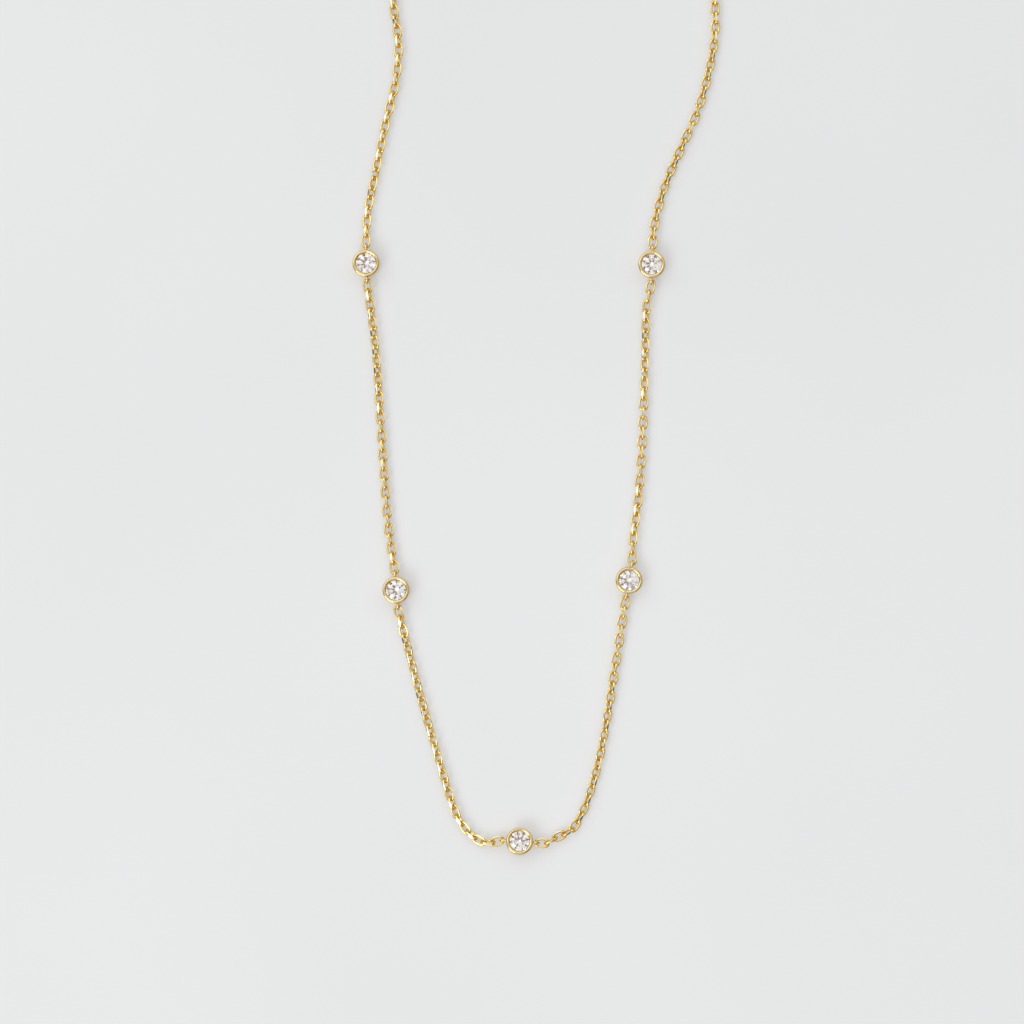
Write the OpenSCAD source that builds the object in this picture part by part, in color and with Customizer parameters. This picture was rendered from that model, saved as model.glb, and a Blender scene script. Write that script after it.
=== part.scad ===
// Station necklace: a fine cable chain with five round stones in plain bezels, laid out flat.
// The chain lies in the XY plane on z = 0, with the front of the necklace towards -Y.

/* [Chain] */
// Outer length of a link
link_length = 2.76; // [2.7:0.02:2.84]
// Outer width of a link
link_width = 1.86; // [1.8:0.02:1.92]
// Thickness of the wire of a link
link_wire = 0.44; // [0.38:0.01:0.45]
// How far the sides of a link curve out past its end bows
link_bulge = 0.08; // [0.04:0.01:0.1]
// Depth of the flat cut along each side of a link
link_cut = 0.08; // [0.05:0.01:0.1]
// Play between two links that hang in each other
link_play = 0.16; // [0.14:0.01:0.18]
// How far each link rolls away from its neighbours' pattern, in degrees
link_wobble = 4; // [0:1:8]

/* [Stone] */
// Diameter of a stone at its girdle
stone_diameter = 4; // [3.6:0.1:4.4]
// Diameter of the table
table_diameter = 2.3; // [2:0.1:2.5]
// Height of the crown
crown_height = 0.6; // [0.5:0.05:0.7]
// Height of the girdle
girdle_height = 0.12; // [0.08:0.02:0.16]
// Depth of the pavilion
pavilion_depth = 1.72; // [1.5:0.02:1.8]

/* [Setting] */
// Height of a bezel
bezel_height = 2.5; // [2.45:0.05:2.8]
// Thickness of the bezel's wall beside the girdle
bezel_wall = 0.34; // [0.3:0.01:0.4]
// How far the rim reaches in over the stone's edge
rim_cover = 0.25; // [0.2:0.01:0.28]
// Depth from the top of the rim to the girdle
rim_depth = 0.5; // [0.46:0.02:0.54]
// Gap between a stone and its seat
seat_gap = 0.06; // [0.04:0.01:0.08]
// Width of the ledge under the stone
seat_ledge = 0.35; // [0.2:0.05:0.5]
// Bevel round the foot of a bezel
foot_bevel = 0.1; // [0.05:0.05:0.2]

/* [Loops] */
// Thickness of the wire of a soldered loop
loop_wire = 0.44; // [0.36:0.02:0.46]
// Inner diameter of a soldered loop
loop_opening = 0.8; // [0.78:0.02:0.96]
// Height of a bezel's loops above its foot
loop_height = 1; // [0.9:0.05:1.3]
// How deep a loop is soldered into the wall
loop_sink = 0.4; // [0.3:0.02:0.4]

/* [Clasp] */
// Outer diameter of the clasp's ring
clasp_diameter = 6; // [5:0.5:7]
// Thickness of the clasp's ring
clasp_wire = 1.2; // [1:0.1:1.4]

/* [Hidden] */
$fn = 48;

GOLD = [0.93, 0.74, 0.32];
CLEAR = [0.9, 0.93, 0.96];

// What hangs on the chain, in order from the clasp down the left side and back up the right
CLASP = 0;
HIGH_LEFT = 1;
LOW_LEFT = 2;
FRONT = 3;
LOW_RIGHT = 4;
HIGH_RIGHT = 5;

// Columns: place in X and Y, heading of the chain there, roll about the chain, turn of the stone
X = 0;
Y = 1;
HEADING = 2;
ROLL = 3;
TURN = 4;
STATIONS = [
    [2.9, 89.6, 180, 0, 0],
    [-30.2, 12.1, -88, 4, 10],
    [-24.9, -45.7, -85, 4, 31],
    [-3.2, -90.4, -4, -8, 17],
    [16.2, -44, 80, 0, 40],
    [20.3, 11.9, 88, -3, 26]
];

// Columns: where a strand starts and ends, how far its links lean at even steps of the way,
// the points that it lies on
START = 0;
END = 1;
LEANS = 2;
ROUTE = 3;
STRANDS = [
    [CLASP, HIGH_LEFT, [0, 5, 10, 18, 27, 14, 14, 33, 6], [
        [-5.3, 88.4], [-14.5, 83.5], [-21.6, 75.5], [-25.2, 67], [-25.6, 59],
        [-24.6, 51], [-25.2, 44], [-27.1, 36], [-28.6, 28.5], [-30, 21.5]
    ]],
    [HIGH_LEFT, LOW_LEFT, [5, 30, 33, 22, 9, 5, 3, 3, 16], [
        [-29.4, 3], [-28.5, -5], [-27.8, -15.5], [-27.1, -26], [-26.3, -35.5]
    ]],
    [LOW_LEFT, FRONT, [8, 36, 38, 38, 38, 36, 33, 32, 10], [
        [-23.6, -53.5], [-21, -63.5], [-18, -74], [-15.1, -83.5],
        [-13.7, -86.6], [-11.6, -89.2], [-9, -90.5]
    ]],
    [FRONT, LOW_RIGHT, [10, 30, 36, 40, 37, 25, 12, 7, -6], [
        [1.6, -90.5], [3.6, -89.4], [5.9, -88.3], [7.2, -86.5],
        [8.8, -83], [10.6, -77], [12.2, -69], [13.7, -59.5], [14.9, -52]
    ]],
    [LOW_RIGHT, HIGH_RIGHT, [-12, -27, -20, 6, 9, -30, -35, -24, 6], [
        [16.9, -37], [17.8, -30], [18.4, -22], [18.8, -12.5], [19.1, -3], [19.3, 4]
    ]],
    [HIGH_RIGHT, CLASP, [12, 33, 14, 32, 8, 10, 5, 5, 0], [
        [20.7, 19], [22.4, 25.5], [25.3, 32.3], [28.2, 38.8], [30.2, 45.6], [31.4, 52.5],
        [31.3, 59], [29.8, 67], [26.3, 75.5], [20, 83.2], [11, 88.4]
    ]]
];
// Steps between two points of a route
route_steps = 8;
// Length of chain over which it sinks from a loop to the surface
sink_length = 6;
// Turn from one link to the next one's wobble, in degrees
wobble_turn = 137.5;

// Oval of a link, along the middle of its wire: two end bows and two flatter sides
link_half = (link_length - link_wire) / 2;
link_side = (link_width - link_wire) / 2;
bow_radius = link_side - link_bulge;
bow_centre = link_half - bow_radius;
side_radius = (pow(bow_centre, 2) + pow(link_side, 2) - pow(bow_radius, 2)) / (2 * link_bulge);
side_centre = side_radius - link_side;
bow_angle = atan2(side_centre, bow_centre);
// The sides run a little way into the bows, and are a hair thinner there, so each link is one solid
joint_angle = 1;
joint_step = 0.01;
// Half the thickness left at a flat cut, and half the width of the flat
cut_reach = link_wire / 2 - link_cut;
cut_half = sqrt(pow(link_wire / 2, 2) - pow(cut_reach, 2));
longest_pitch = link_length - 2 * link_wire - link_play;

stone_radius = stone_diameter / 2;
table_radius = table_diameter / 2;
bezel_radius = stone_radius + seat_gap + bezel_wall;
back_radius = stone_radius - seat_ledge;
rim_radius = (bezel_radius - stone_radius + rim_cover) / 2;
girdle_top = bezel_height - rim_depth;
girdle_foot = girdle_top - girdle_height;
crown_slope = crown_height / (stone_radius - table_radius);
pavilion_slope = pavilion_depth / stone_radius;

loop_radius = (loop_opening + loop_wire) / 2;
loop_outer = loop_radius + loop_wire / 2;

function ease(t) = let (c = min(max(t, 0), 1)) c * c * (3 - 2 * c);
function mix(a, b, t) = a + (b - a) * t;

// Where things lie on a station: its radius, its loops, its lift when rolled
function body_radius(i) = i == CLASP ? clasp_diameter / 2 : bezel_radius;
function loop_z(i) = i == CLASP ? loop_outer : loop_height;
function loop_x(i) = body_radius(i) - loop_sink + loop_outer;
function lift(i) = (body_radius(i) - foot_bevel) * abs(sin(STATIONS[i][ROLL]));
// The middle of the loop wire that a strand hangs on, where the strand starts or ends
function hook(i, side) = let (
        s = STATIONS[i],
        x = side * (loop_x(i) + loop_radius),
        y = -loop_z(i) * sin(s[ROLL]),
        z = loop_z(i) * cos(s[ROLL]) + lift(i)
    ) [
        s[X] + x * cos(s[HEADING]) - y * sin(s[HEADING]),
        s[Y] + x * sin(s[HEADING]) + y * cos(s[HEADING]),
        z
    ];

// A smooth curve through points, as evenly stepped points between each two of them
function curve_point(a, b, c, d, t) =
    b + (c - a) * t / 2 + (2 * a - 5 * b + 4 * c - d) * t * t / 2
    + (3 * b - 3 * c + d - a) * t * t * t / 2;
function curve(points) = let (
        last = len(points) - 1,
        padded = concat([2 * points[0] - points[1]], points, [2 * points[last] - points[last - 1]])
    ) concat([
        for (i = [0:last - 1], j = [0:route_steps - 1])
            curve_point(padded[i], padded[i + 1], padded[i + 2], padded[i + 3], j / route_steps)
    ], [points[last]]);
function running_length(path) = [
    for (i = 0, s = 0; i < len(path); i = i + 1, s = s + norm(path[min(i, len(path) - 1)] - path[i - 1])) s
];
function lookup_rows(keys, values, column) = [for (i = [0:len(keys) - 1]) [keys[i], values[i][column]]];

// Height of a link's axis when it rests on the surface at a roll
function rest_height(roll) = let (up = abs(sin(roll)), across = abs(cos(roll)))
    up * link_wire / 2 < cut_reach
        ? link_side * up + link_wire / 2
        : (link_side + cut_reach) * up + cut_half * across;

// The places and attitudes of a strand's links, each as its middle and its three angles
function links(strand) = let (
        a = hook(strand[START], 1),
        b = hook(strand[END], -1),
        path = curve(concat([[a[X], a[Y]]], strand[ROUTE], [[b[X], b[Y]]])),
        run = running_length(path),
        total = run[len(run) - 1],
        // An odd number of links, as the first and the last both lie across the loop that they hang on
        pairs = ceil(((total + link_wire + link_play) / longest_pitch - 1) / 2),
        count = 2 * pairs + 1,
        xs = lookup_rows(run, path, X),
        ys = lookup_rows(run, path, Y),
        steps = len(strand[LEANS]) - 1,
        leans = [for (i = [0:steps]) [i / steps, strand[LEANS][i]]],
        rolls = [
            for (k = [0:count])
                let (share = k / count)
                90 * (k % 2) + lookup(share, leans) + link_wobble * sin(k * wobble_turn)
                + mix(STATIONS[strand[START]][ROLL], STATIONS[strand[END]][ROLL], share)
        ],
        // A bend turns about the wire of whichever of the two links stands upright
        shifts = [for (roll = rolls) (link_wire + link_play) / 2 * cos(2 * roll)],
        pitch = (total + shifts[0] - shifts[count]) / count,
        joints = [
            for (k = [0:count])
                let (
                    s = k * pitch + shifts[k] - shifts[0],
                    ground = max(rest_height(rolls[k]), rest_height(rolls[max(k - 1, 0)])),
                    rise_a = (a[2] - ground) * (1 - ease(s / sink_length)),
                    rise_b = (b[2] - ground) * (1 - ease((total - s) / sink_length))
                )
                [lookup(s, xs), lookup(s, ys), ground + max(rise_a, rise_b, 0)]
        ]
    ) [
        for (k = [0:count - 1])
            let (
                way = joints[k + 1] - joints[k],
                along = way / norm(way),
                middle = (joints[k] + joints[k + 1]) / 2 - along * (shifts[k] + shifts[k + 1]) / 2
            )
            [middle, [rolls[k], -asin(along[2]), atan2(along[1], along[0])]]
    ];

module ring(radius, wire) {
    rotate_extrude() translate([radius, 0]) circle(d = wire);
}

module wire_arc(radius, wire, half_angle) {
    rotate([0, 0, -half_angle]) rotate_extrude(angle = 2 * half_angle)
        translate([radius, 0]) circle(d = wire);
}

module link() {
    intersection() {
        union() {
            for (end = [0, 180]) {
                rotate([0, 0, end]) translate([bow_centre, 0, 0])
                    wire_arc(bow_radius, link_wire, bow_angle);
                rotate([0, 0, end + 90]) translate([-side_centre, 0, 0])
                    wire_arc(side_radius, link_wire - joint_step, 90 - bow_angle + joint_angle);
            }
        }
        cube([2 * link_length, link_width - 2 * link_cut, 2 * link_wire], center = true);
    }
}

module chain(strand) {
    color(GOLD)
    for (place = links(strand))
        translate(place[0]) rotate(place[1]) link();
}

module at_station(i) {
    translate([STATIONS[i][X], STATIONS[i][Y], lift(i)])
        rotate([STATIONS[i][ROLL], 0, STATIONS[i][HEADING]])
            children();
}

module loops(i) {
    for (side = [-1, 1])
        translate([side * loop_x(i), 0, loop_z(i)]) rotate([90, 0, 0]) ring(loop_radius, loop_wire);
}

// Room for the stone with its gap, and the open back below it
module seat_outline() {
    seat_radius = stone_radius + seat_gap;
    under = seat_gap * sqrt(1 + pow(pavilion_slope, 2));
    over = seat_gap * sqrt(1 + pow(crown_slope, 2));
    top = bezel_height + crown_height;
    bottom = -foot_bevel;
    polygon([
        [0, bottom],
        [back_radius, bottom],
        [back_radius, girdle_foot - seat_ledge * pavilion_slope - under],
        [seat_radius, girdle_foot + seat_gap * pavilion_slope - under],
        [seat_radius, girdle_top - seat_gap * crown_slope + over],
        [stone_radius - (top - girdle_top - over) / crown_slope, top],
        [0, top]
    ]);
}

module bezel(i) {
    color(GOLD)
    at_station(i) {
        rotate_extrude() difference() {
            union() {
                polygon([
                    [0, 0],
                    [bezel_radius - foot_bevel, 0],
                    [bezel_radius, foot_bevel],
                    [bezel_radius, bezel_height - rim_radius],
                    [0, bezel_height - rim_radius]
                ]);
                translate([bezel_radius - rim_radius, bezel_height - rim_radius]) circle(r = rim_radius);
            }
            seat_outline();
        }
        loops(i);
    }
}

// Round brilliant cut: a table, 8 stars, 8 kites and 16 upper halves over 16 lower halves and 8 mains
module stone(i) {
    sides = 8;
    half_turn = 180 / sides;
    star_share = 0.5;
    lower_share = 0.76;
    star_radius = mix(table_radius, stone_radius, star_share) / cos(half_turn);
    star_z = girdle_top + crown_height * (1 - star_share);
    lower_radius = stone_radius * (1 - lower_share) / cos(half_turn);
    lower_z = girdle_foot - pavilion_depth * lower_share;
    culet = 7 * sides;
    function corners(count, radius, z, start) = [
        for (k = [0:count - 1])
            let (angle = start + k * 360 / count)
            [radius * cos(angle), radius * sin(angle), z]
    ];
    points = concat(
        corners(sides, table_radius, girdle_top + crown_height, 0),
        corners(sides, star_radius, star_z, half_turn),
        corners(2 * sides, stone_radius, girdle_top, 0),
        corners(2 * sides, stone_radius, girdle_foot, 0),
        corners(sides, lower_radius, lower_z, half_turn),
        [[0, 0, girdle_foot - pavilion_depth]]
    );
    function table_point(k) = k % sides;
    function star_point(k) = sides + (k + sides) % sides;
    function upper_point(k) = 2 * sides + k % (2 * sides);
    function lower_point(k) = 4 * sides + k % (2 * sides);
    function half_point(k) = 6 * sides + (k + sides) % sides;
    faces = concat(
        [[for (k = [sides - 1:-1:0]) table_point(k)]],
        [for (k = [0:sides - 1]) [table_point(k), table_point(k + 1), star_point(k)]],
        [for (k = [0:sides - 1]) [star_point(k - 1), table_point(k), star_point(k), upper_point(2 * k)]],
        [for (k = [0:sides - 1], h = [0, 1])
            [star_point(k), upper_point(2 * k + h + 1), upper_point(2 * k + h)]],
        [for (k = [0:2 * sides - 1])
            [upper_point(k), upper_point(k + 1), lower_point(k + 1), lower_point(k)]],
        [for (k = [0:sides - 1], h = [0, 1])
            [half_point(k), lower_point(2 * k + h), lower_point(2 * k + h + 1)]],
        [for (k = [0:sides - 1]) [half_point(k - 1), lower_point(2 * k), half_point(k), culet]]
    );
    color(CLEAR)
    at_station(i) rotate([0, 0, STATIONS[i][TURN]]) polyhedron(points, faces);
}

module clasp() {
    color(GOLD)
    at_station(CLASP) {
        translate([0, 0, clasp_wire / 2]) ring((clasp_diameter - clasp_wire) / 2, clasp_wire);
        loops(CLASP);
    }
}

chain(STRANDS[0]);  // chain_back_left
chain(STRANDS[1]);  // chain_upper_left
chain(STRANDS[2]);  // chain_lower_left
chain(STRANDS[3]);  // chain_lower_right
chain(STRANDS[4]);  // chain_upper_right
chain(STRANDS[5]);  // chain_back_right
bezel(HIGH_LEFT);  // bezel_high_left
bezel(LOW_LEFT);  // bezel_low_left
bezel(FRONT);  // bezel_front
bezel(LOW_RIGHT);  // bezel_low_right
bezel(HIGH_RIGHT);  // bezel_high_right
stone(HIGH_LEFT);  // stone_high_left
stone(LOW_LEFT);  // stone_low_left
stone(FRONT);  // stone_front
stone(LOW_RIGHT);  // stone_low_right
stone(HIGH_RIGHT);  // stone_high_right
clasp();
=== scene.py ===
# Station necklace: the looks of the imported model, in metres, in the model's own frame.
import math
import random

import bmesh
import bpy
import numpy as np
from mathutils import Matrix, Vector


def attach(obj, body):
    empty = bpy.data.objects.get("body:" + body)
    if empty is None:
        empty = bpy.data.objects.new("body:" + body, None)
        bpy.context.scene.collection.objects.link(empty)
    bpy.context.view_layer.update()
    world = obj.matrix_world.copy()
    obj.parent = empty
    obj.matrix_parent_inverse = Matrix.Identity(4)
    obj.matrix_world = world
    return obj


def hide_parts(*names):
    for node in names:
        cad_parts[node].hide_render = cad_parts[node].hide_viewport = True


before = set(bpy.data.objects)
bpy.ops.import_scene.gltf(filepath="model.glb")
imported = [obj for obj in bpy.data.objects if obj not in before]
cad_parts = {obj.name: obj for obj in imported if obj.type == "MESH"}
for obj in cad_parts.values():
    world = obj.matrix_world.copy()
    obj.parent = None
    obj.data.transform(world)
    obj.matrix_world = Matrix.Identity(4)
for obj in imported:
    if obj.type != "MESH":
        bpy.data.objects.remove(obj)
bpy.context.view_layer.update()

MM = 0.001
CHAINS = ["back_left", "upper_left", "lower_left", "lower_right", "upper_right", "back_right"]
STATIONS = ["high_left", "low_left", "front", "low_right", "high_right"]

# A link, in millimetres, as the source of the model has it
LINK_LENGTH = 2.76
LINK_WIDTH = 1.86
LINK_WIRE = 0.44
LINK_BULGE = 0.08
LINK_CUT = 0.08

# Single links differ in how much deeper their flat cuts are, and in how they lean and turn
CUT_EXTRA = (0.006, 0.03)
CUT_LEAN = math.radians(2.5)
CUT_TURN = CUT_LEAN / 3
LINK_VARIANTS = 8
SEED = 7

# The shapes are a hair smaller than the model's links, so that they stay inside its box
LINK_TRIM = 0.9995

# How finely the mesh of a link is cut up, and the angle from which its edges are sharp
BOW_STEPS = 14
SIDE_STEPS = 8
WIRE_SIDES = 14
SHARP_ANGLE = math.radians(28)

# Corners of the model's mesh that lie closer than this are one
WELD = MM * 1e-4

# Gold plate: its deeper and paler colour, its roughness, how deep its dents go and how fine its grain is
CHAIN_GOLD = {
    "deep": (0.96, 0.76, 0.29), "pale": (1, 0.88, 0.46), "rough": (0.08, 0.16), "bump": 0.3, "grain": 900
}
SETTING_GOLD = {
    "deep": (0.74, 0.545, 0.22), "pale": (0.85, 0.68, 0.36), "rough": (0.05, 0.1), "bump": 0.3, "grain": 600
}
DENT_DEPTH = 0.02 * MM

# Painted light on the mesh of a link, as colours of the gold: painted shade in the bows, where the links
# cross, and a painted highlight on the flat cuts; and how much of the bows' painted shade the inner side of
# the wire takes
PAINTED_LIGHT_MARKS = {"bow_shade": (0.76, 0.46, 0.08), "cut": (0.98, 0.87, 0.54)}
INNER_SHADE_SHARE = 0.6

# Clear stone, with the roughness of its faint haze
STONE_REFRACTION = 2.1
STONE_HAZE = (0.02, 0.06)
STONE_TINTS = ((0.97, 0.98, 1), (1, 0.99, 0.98))

# A pale floor that also glows a little, so that shadows stay faint
FLOOR_SHADES = ((0.39, 0.396, 0.402), (0.414, 0.421, 0.426))
FLOOR_ROUGHNESS = 0.7
FLOOR_GLOW = 0.33
FLOOR_SIZE = 3

# Noise textures mostly give values between these two
NOISE_RANGE = (0.3, 0.7)

# The photograph's frame: its middle in the model's frame, and the width of the ground that it covers
VIEW_X = -4.52 * MM
VIEW_Y = -31.9 * MM
VIEW_WIDTH = 181.56 * MM

# The camera straight above it, with its sensor's width in millimetres
CAMERA_HEIGHT = 0.85
CAMERA_RANGE = (0.01, 10)
SENSOR = 36

# The one lamp
KEY_PLACE = (-0.5, -0.55, 0.7)
KEY_SIZE = 0.6
KEY_POWER = 3
KEY_COLOR = (1, 0.99, 0.98)

# Light from the surroundings in bands from the horizon, 0, to straight up, 1, and its shift from side
# to side about its level
ROOM_BANDS = [(0, 0.12), (0.37, 0.14), (0.52, 1.05), (0.85, 1), (0.94, 0.45), (1, 0.4)]
ROOM_SLANT = (-0.7, 0.5, 0)
ROOM_LEVEL = 1.35
# Dark cards in those surroundings: where, the degrees between which they fade, their colour
DARK = (0.12, 0.12, 0.12)
ROOM_CARDS = [((0.75, -0.55, 0.5), 10, 30, DARK), ((-0.9, -0.25, 0.5), 8, 24, DARK)]

# The stones show white surroundings of their own, with patches told in the same way
STONE_LIGHT = (0.97, 0.94, 0.91)
WARM = (0.3, 0.18, 0.13)
GREY = (0.3, 0.31, 0.35)
STONE_PATCHES = [
    ((-0.09, -0.02, 1), 6.5, 9, WARM), ((0.07, 0.19, 1), 5, 7.5, WARM), ((0.3, 0.08, 1), 3, 5, GREY),
    ((-0.33, 0.3, 1), 3, 5, GREY), ((0.16, -0.32, 1), 3, 5, GREY), ((-0.22, -0.3, 1), 3, 5, GREY)
]
# What the camera sees past the edge of the floor
PLAIN_GREY = (0.8, 0.8, 0.81)


# Materials

def new_material(name):
    material = bpy.data.materials.new(name)
    material.use_nodes = True
    nodes = material.node_tree.nodes
    return material, nodes, material.node_tree.links, nodes["Principled BSDF"]


def noise(nodes, links, scale, detail):
    coordinates = nodes.new("ShaderNodeTexCoord")
    texture = nodes.new("ShaderNodeTexNoise")
    texture.inputs["Scale"].default_value = scale
    texture.inputs["Detail"].default_value = detail
    links.new(coordinates.outputs["Object"], texture.inputs["Vector"])
    return texture.outputs["Fac"]


def spread(nodes, links, value, low, high):
    node = nodes.new("ShaderNodeMapRange")
    node.inputs["From Min"].default_value, node.inputs["From Max"].default_value = NOISE_RANGE
    node.inputs["To Min"].default_value = low
    node.inputs["To Max"].default_value = high
    links.new(value, node.inputs["Value"])
    return node.outputs["Result"]


def blend_colors(nodes, links, factor, first, second):
    node = nodes.new("ShaderNodeMix")
    node.data_type = "RGBA"
    node.clamp_factor = True
    for socket, color in ((node.inputs["A"], first), (node.inputs["B"], second)):
        if isinstance(color, tuple):
            socket.default_value = (*color, 1)
        else:
            links.new(color, socket)
    links.new(factor, node.inputs["Factor"])
    return node.outputs["Result"]


def gold(name, look):
    """Polished gold plate: its colour shifts softly, and hand polishing leaves it a little uneven.
    The bows of the links, where they cross, and the inner side of the wire get painted shade; their flat
    cuts get a painted highlight."""
    material, nodes, links, shader = new_material(name)
    shader.inputs["Metallic"].default_value = 1
    grain = look["grain"]
    tone = spread(nodes, links, noise(nodes, links, grain, detail=2), 0, 1)
    color = blend_colors(nodes, links, tone, look["deep"], look["pale"])
    # Painted light over the gold's own colour: painted shade in the bows and on the wire's inner side, a
    # painted highlight on the flat cuts
    for mark, shade in PAINTED_LIGHT_MARKS.items():
        place = nodes.new("ShaderNodeAttribute")
        place.attribute_name = mark
        color = blend_colors(nodes, links, place.outputs["Fac"], color, shade)
    links.new(color, shader.inputs["Base Color"])
    wear = noise(nodes, links, 3 * grain, detail=3)
    links.new(spread(nodes, links, wear, *look["rough"]), shader.inputs["Roughness"])
    dents = nodes.new("ShaderNodeBump")
    dents.inputs["Strength"].default_value = look["bump"]
    dents.inputs["Distance"].default_value = DENT_DEPTH
    links.new(noise(nodes, links, 2 * grain, detail=1), dents.inputs["Height"])
    links.new(dents.outputs["Normal"], shader.inputs["Normal"])
    return material


def clear_stone():
    """Clear cut stone of high refraction, with the faintest haze in its polish."""
    material, nodes, links, shader = new_material("clear_stone")
    shader.inputs["Transmission Weight"].default_value = 1
    shader.inputs["IOR"].default_value = STONE_REFRACTION
    haze = noise(nodes, links, scale=1800, detail=2)
    links.new(spread(nodes, links, haze, *STONE_HAZE), shader.inputs["Roughness"])
    tint = blend_colors(nodes, links, noise(nodes, links, scale=400, detail=1), *STONE_TINTS)
    links.new(tint, shader.inputs["Base Color"])
    return material


def floor_material():
    material, nodes, links, shader = new_material("floor")
    shade = spread(nodes, links, noise(nodes, links, scale=9, detail=2), 0, 1)
    color = blend_colors(nodes, links, shade, *FLOOR_SHADES)
    links.new(color, shader.inputs["Base Color"])
    shader.inputs["Emission Color"].default_value = (1, 1, 1, 1)
    shader.inputs["Emission Strength"].default_value = FLOOR_GLOW
    shader.inputs["Roughness"].default_value = FLOOR_ROUGHNESS
    return material


# Links

def link_path():
    """The middle of a link's wire: two end bows and two flatter sides.
    Each of its points comes with the way out of the oval there."""
    half = (LINK_LENGTH - LINK_WIRE) / 2
    side = (LINK_WIDTH - LINK_WIRE) / 2
    bow_radius = side - LINK_BULGE
    bow_centre = half - bow_radius
    side_radius = (bow_centre ** 2 + side ** 2 - bow_radius ** 2) / (2 * LINK_BULGE)
    side_centre = side_radius - side
    bow_angle = math.atan2(side_centre, bow_centre)
    side_angle = math.pi / 2 - bow_angle
    path = []
    for turn in (0, math.pi):
        for step in range(BOW_STEPS):
            angle = -bow_angle + 2 * bow_angle * step / BOW_STEPS
            path.append((turn + angle, turn, bow_centre, bow_radius))
        for step in range(SIDE_STEPS):
            angle = -side_angle + 2 * side_angle * step / SIDE_STEPS
            path.append((turn + math.pi / 2 + angle, turn + math.pi / 2, -side_centre, side_radius))
    points = []
    for angle, turn, centre, radius in path:
        out = Vector((math.cos(angle), math.sin(angle), 0))
        middle = Vector((math.cos(turn), math.sin(turn), 0)) * centre
        points.append((middle + out * radius, out))
    return points


def link_shape(draw):
    """One link: round wire along the oval, with a flat bright cut along each side that leans its own way.
    It comes as points, faces, the painted shade of the bows and the wire's inner side at each point, and
    the painted highlight of the cuts at each face."""
    mesh = bmesh.new()
    up = Vector((0, 0, 1))
    rings = []
    bow_shade = mesh.verts.layers.float.new("bow_shade")
    half = (LINK_LENGTH - LINK_WIRE) / 2
    for point, out in link_path():
        ring = []
        for k in range(WIRE_SIDES):
            angle = 2 * math.pi * (k + 0.5) / WIRE_SIDES
            vertex = mesh.verts.new(point + (out * math.cos(angle) + up * math.sin(angle)) * LINK_WIRE / 2)
            # Painted shade: darker gold towards the bows, where the links cross, and on the inner side of
            # the wire
            inside = 0.5 - 0.5 * math.cos(angle)
            vertex[bow_shade] = min(max(2 * abs(point.x) / half - 1, 0) + INNER_SHADE_SHARE * inside ** 2, 1)
            ring.append(vertex)
        rings.append(ring)
    for i, ring in enumerate(rings):
        after = rings[(i + 1) % len(rings)]
        for k in range(WIRE_SIDES):
            j = (k + 1) % WIRE_SIDES
            mesh.faces.new((ring[k], after[k], after[j], ring[j]))
    flats = []
    for side in (-1, 1):
        depth = LINK_CUT + draw.uniform(*CUT_EXTRA)
        lean = draw.uniform(-CUT_LEAN, CUT_LEAN)
        turn = draw.uniform(-CUT_TURN, CUT_TURN)
        out = Vector((math.sin(turn), side * math.cos(lean), math.sin(lean)))
        place = (0, side * (LINK_WIDTH / 2 - depth), 0)
        geometry = mesh.verts[:] + mesh.edges[:] + mesh.faces[:]
        cut = bmesh.ops.bisect_plane(
            mesh, geom=geometry, plane_co=place, plane_no=out, clear_outer=True
        )
        edges = [e for e in cut["geom_cut"] if isinstance(e, bmesh.types.BMEdge)]
        flats += bmesh.ops.contextual_create(mesh, geom=edges)["faces"]
    bmesh.ops.recalc_face_normals(mesh, faces=mesh.faces[:])
    mesh.verts.index_update()
    points = np.array([v.co for v in mesh.verts])
    bow_shades = [v[bow_shade] for v in mesh.verts]
    faces = [[v.index for v in f.verts] for f in mesh.faces]
    # Painted highlight: the flat cuts are marked for the palest gold
    cut_highlights = [float(f in flats) for f in mesh.faces]
    mesh.free()
    return points, faces, bow_shades, cut_highlights


def solid_labels(points, corners):
    """A label for each triangle, the same all over one solid: the lowest number of its corners."""
    whole, names = np.unique(np.round(points / WELD).astype(np.int64), axis=0, return_inverse=True)
    joined = names.reshape(-1)[corners]
    labels = np.arange(len(whole))
    while True:
        lowest = labels[joined].min(axis=1)
        fresh = labels.copy()
        for k in range(3):
            np.minimum.at(fresh, joined[:, k], lowest)
        fresh = fresh[fresh]
        if np.array_equal(fresh, labels):
            return labels[joined[:, 0]]
        labels = fresh


def link_places(node):
    """Where each link of a chain lies: its middle, and the axes along its length, width and thickness.
    They come from how the link's surface is spread round its middle."""
    mesh = node.data
    points = np.empty(len(mesh.vertices) * 3)
    mesh.vertices.foreach_get("co", points)
    points = points.reshape(-1, 3)
    mesh.calc_loop_triangles()
    corners = np.empty(len(mesh.loop_triangles) * 3, int)
    mesh.loop_triangles.foreach_get("vertices", corners)
    corners = corners.reshape(-1, 3)
    labels = solid_labels(points, corners)
    places = []
    for label in np.unique(labels):
        a, b, c = (points[corners[labels == label, k]] for k in range(3))
        area = np.linalg.norm(np.cross(b - a, c - a), axis=1) / 2
        middle = ((a + b + c) / 3 * area[:, None]).sum(0) / area.sum()
        scatter = np.zeros((3, 3))
        for arm in ((a + b) / 2 - middle, (b + c) / 2 - middle, (c + a) / 2 - middle):
            scatter += (arm * area[:, None]).T @ arm
        along, across = np.linalg.eigh(scatter)[1][:, [2, 1]].T
        places.append((middle, np.stack([along, across, np.cross(along, across)], 1)))
    return places


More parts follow.
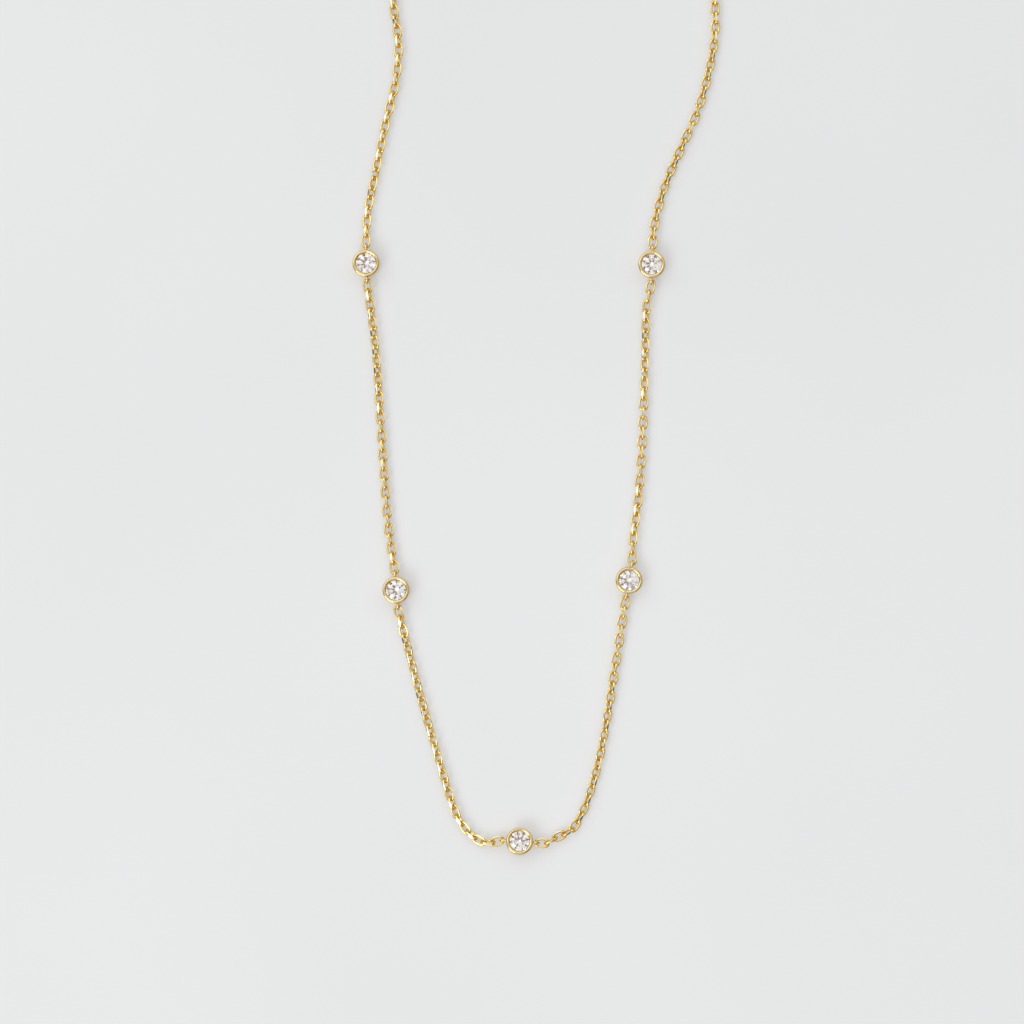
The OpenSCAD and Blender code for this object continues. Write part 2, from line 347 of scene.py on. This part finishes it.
def chain_piece(name, material, shapes, draw):
    """A strand of separate links, each where the model has it."""
    points, faces, bow_shades, cut_highlights = [], [], [], []
    start = 0
    for middle, axes in link_places(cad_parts["chain_" + name]):
        shape_points, shape_faces, shape_bow_shades, shape_cut_highlights = shapes[draw.randrange(len(shapes))]
        points.append(shape_points * MM * LINK_TRIM @ axes.T + middle)
        faces.extend([[start + v for v in f] for f in shape_faces])
        bow_shades.extend(shape_bow_shades)
        cut_highlights.extend(shape_cut_highlights)
        start += len(shape_points)
    mesh = bpy.data.meshes.new("links_" + name)
    mesh.from_pydata(np.concatenate(points), [], faces)
    # The painted shade of the bows and the painted highlight of the flat cuts go onto the mesh
    mesh.attributes.new("bow_shade", "FLOAT", "POINT").data.foreach_set("value", bow_shades)
    mesh.attributes.new("cut", "FLOAT", "FACE").data.foreach_set("value", cut_highlights)
    mesh.polygons.foreach_set("use_smooth", [True] * len(mesh.polygons))
    mesh.set_sharp_from_angle(angle=SHARP_ANGLE)
    mesh.materials.append(material)
    piece = bpy.data.objects.new("links_" + name, mesh)
    bpy.context.scene.collection.objects.link(piece)
    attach(piece, "root")
    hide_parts("chain_" + name)


def dress(node, material):
    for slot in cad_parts[node].material_slots:
        slot.material = material


# Surroundings

def floor_piece():
    mesh = bmesh.new()
    bmesh.ops.create_grid(mesh, x_segments=2, y_segments=2, size=FLOOR_SIZE / 2)
    data = bpy.data.meshes.new("floor")
    mesh.to_mesh(data)
    mesh.free()
    data.materials.append(floor_material())
    piece = bpy.data.objects.new("floor", data)
    bpy.context.scene.collection.objects.link(piece)


def key_light():
    """A soft round light from the lower left, aimed at the middle of the model."""
    data = bpy.data.lights.new("key", "AREA")
    data.shape = "DISK"
    data.size = KEY_SIZE
    data.energy = KEY_POWER
    data.color = KEY_COLOR
    light = bpy.data.objects.new("key", data)
    light.location = KEY_PLACE
    light.rotation_euler = (-Vector(KEY_PLACE)).to_track_quat("-Z", "Y").to_euler()
    bpy.context.scene.collection.objects.link(light)


def ramp(nodes, links, value, stops):
    node = nodes.new("ShaderNodeValToRGB")
    while len(node.color_ramp.elements) < len(stops):
        node.color_ramp.elements.new(0.5)
    for element, (place, level) in zip(node.color_ramp.elements, stops):
        element.position = place
        element.color = (level, level, level, 1)
    links.new(value, node.inputs["Fac"])
    return node.outputs["Color"]


def toward(nodes, links, direction, aim):
    """How far a direction points towards the aim: 1 is straight at it."""
    node = nodes.new("ShaderNodeVectorMath")
    node.operation = "DOT_PRODUCT"
    node.inputs[1].default_value = aim
    links.new(direction, node.inputs[0])
    return node.outputs["Value"]


def add_patches(nodes, links, direction, color, patches):
    """The colour with soft round patches laid over it one after another."""
    for aim, inner, outer, shade in patches:
        near = nodes.new("ShaderNodeMapRange")
        near.interpolation_type = "SMOOTHSTEP"
        near.inputs["From Min"].default_value = math.cos(math.radians(outer))
        near.inputs["From Max"].default_value = math.cos(math.radians(inner))
        links.new(toward(nodes, links, direction, Vector(aim).normalized()), near.inputs["Value"])
        color = blend_colors(nodes, links, near.outputs["Result"], color, shade)
    return color


def raised(nodes, links, value, level):
    node = nodes.new("ShaderNodeMath")
    node.operation = "ADD"
    links.new(value, node.inputs[0])
    node.inputs[1].default_value = level
    return node.outputs["Value"]


def scaled(nodes, links, color, factor):
    node = nodes.new("ShaderNodeVectorMath")
    node.operation = "SCALE"
    links.new(color, node.inputs[0])
    links.new(factor, node.inputs["Scale"])
    return node.outputs["Vector"]


def backdrop(nodes, links, color):
    node = nodes.new("ShaderNodeBackground")
    if isinstance(color, tuple):
        node.inputs["Color"].default_value = color
    else:
        links.new(color, node.inputs["Color"])
    return node.outputs["Background"]


def choose(nodes, links, factor, first, second):
    node = nodes.new("ShaderNodeMixShader")
    links.new(factor, node.inputs["Fac"])
    links.new(first, node.inputs[1])
    links.new(second, node.inputs[2])
    return node.outputs["Shader"]


def room():
    """Soft white surroundings in bands, darker straight above where the lens is and low down, brighter
    towards the upper left. Through the stones warm and grey patches show beside the lens."""
    world = bpy.data.worlds.new("room")
    world.use_nodes = True
    bpy.context.scene.world = world
    nodes = world.node_tree.nodes
    links = world.node_tree.links
    direction = nodes.new("ShaderNodeTexCoord").outputs["Generated"]
    bands = ramp(nodes, links, toward(nodes, links, direction, (0, 0, 1)), ROOM_BANDS)
    slant = raised(nodes, links, toward(nodes, links, direction, ROOM_SLANT), ROOM_LEVEL)
    metal_light = add_patches(nodes, links, direction, scaled(nodes, links, bands, slant), ROOM_CARDS)
    stone_light = add_patches(nodes, links, direction, STONE_LIGHT, STONE_PATCHES)
    rays = nodes.new("ShaderNodeLightPath").outputs
    scenery = choose(
        nodes, links, rays["Is Transmission Ray"],
        backdrop(nodes, links, metal_light), backdrop(nodes, links, stone_light)
    )
    seen = choose(nodes, links, rays["Is Camera Ray"], scenery, backdrop(nodes, links, (*PLAIN_GREY, 1)))
    links.new(seen, nodes["World Output"].inputs["Surface"])


def camera():
    data = bpy.data.cameras.new("camera")
    data.sensor_width = SENSOR
    data.lens = SENSOR * CAMERA_HEIGHT / VIEW_WIDTH
    data.clip_start, data.clip_end = CAMERA_RANGE
    eye = bpy.data.objects.new("camera", data)
    eye.location = (VIEW_X, VIEW_Y, CAMERA_HEIGHT)
    bpy.context.scene.collection.objects.link(eye)
    bpy.context.scene.camera = eye


camera()
room()
key_light()
floor_piece()

chain_gold = gold("chain_gold", CHAIN_GOLD)
setting_gold = gold("setting_gold", SETTING_GOLD)
stone = clear_stone()

draw = random.Random(SEED)
shapes = [link_shape(draw) for _ in range(LINK_VARIANTS)]
for chain in CHAINS:
    chain_piece(chain, chain_gold, shapes, draw)
for station in STATIONS:
    dress("bezel_" + station, setting_gold)
    dress("stone_" + station, stone)
dress("clasp", setting_gold)

bpy.context.scene.view_settings.view_transform = "Standard"
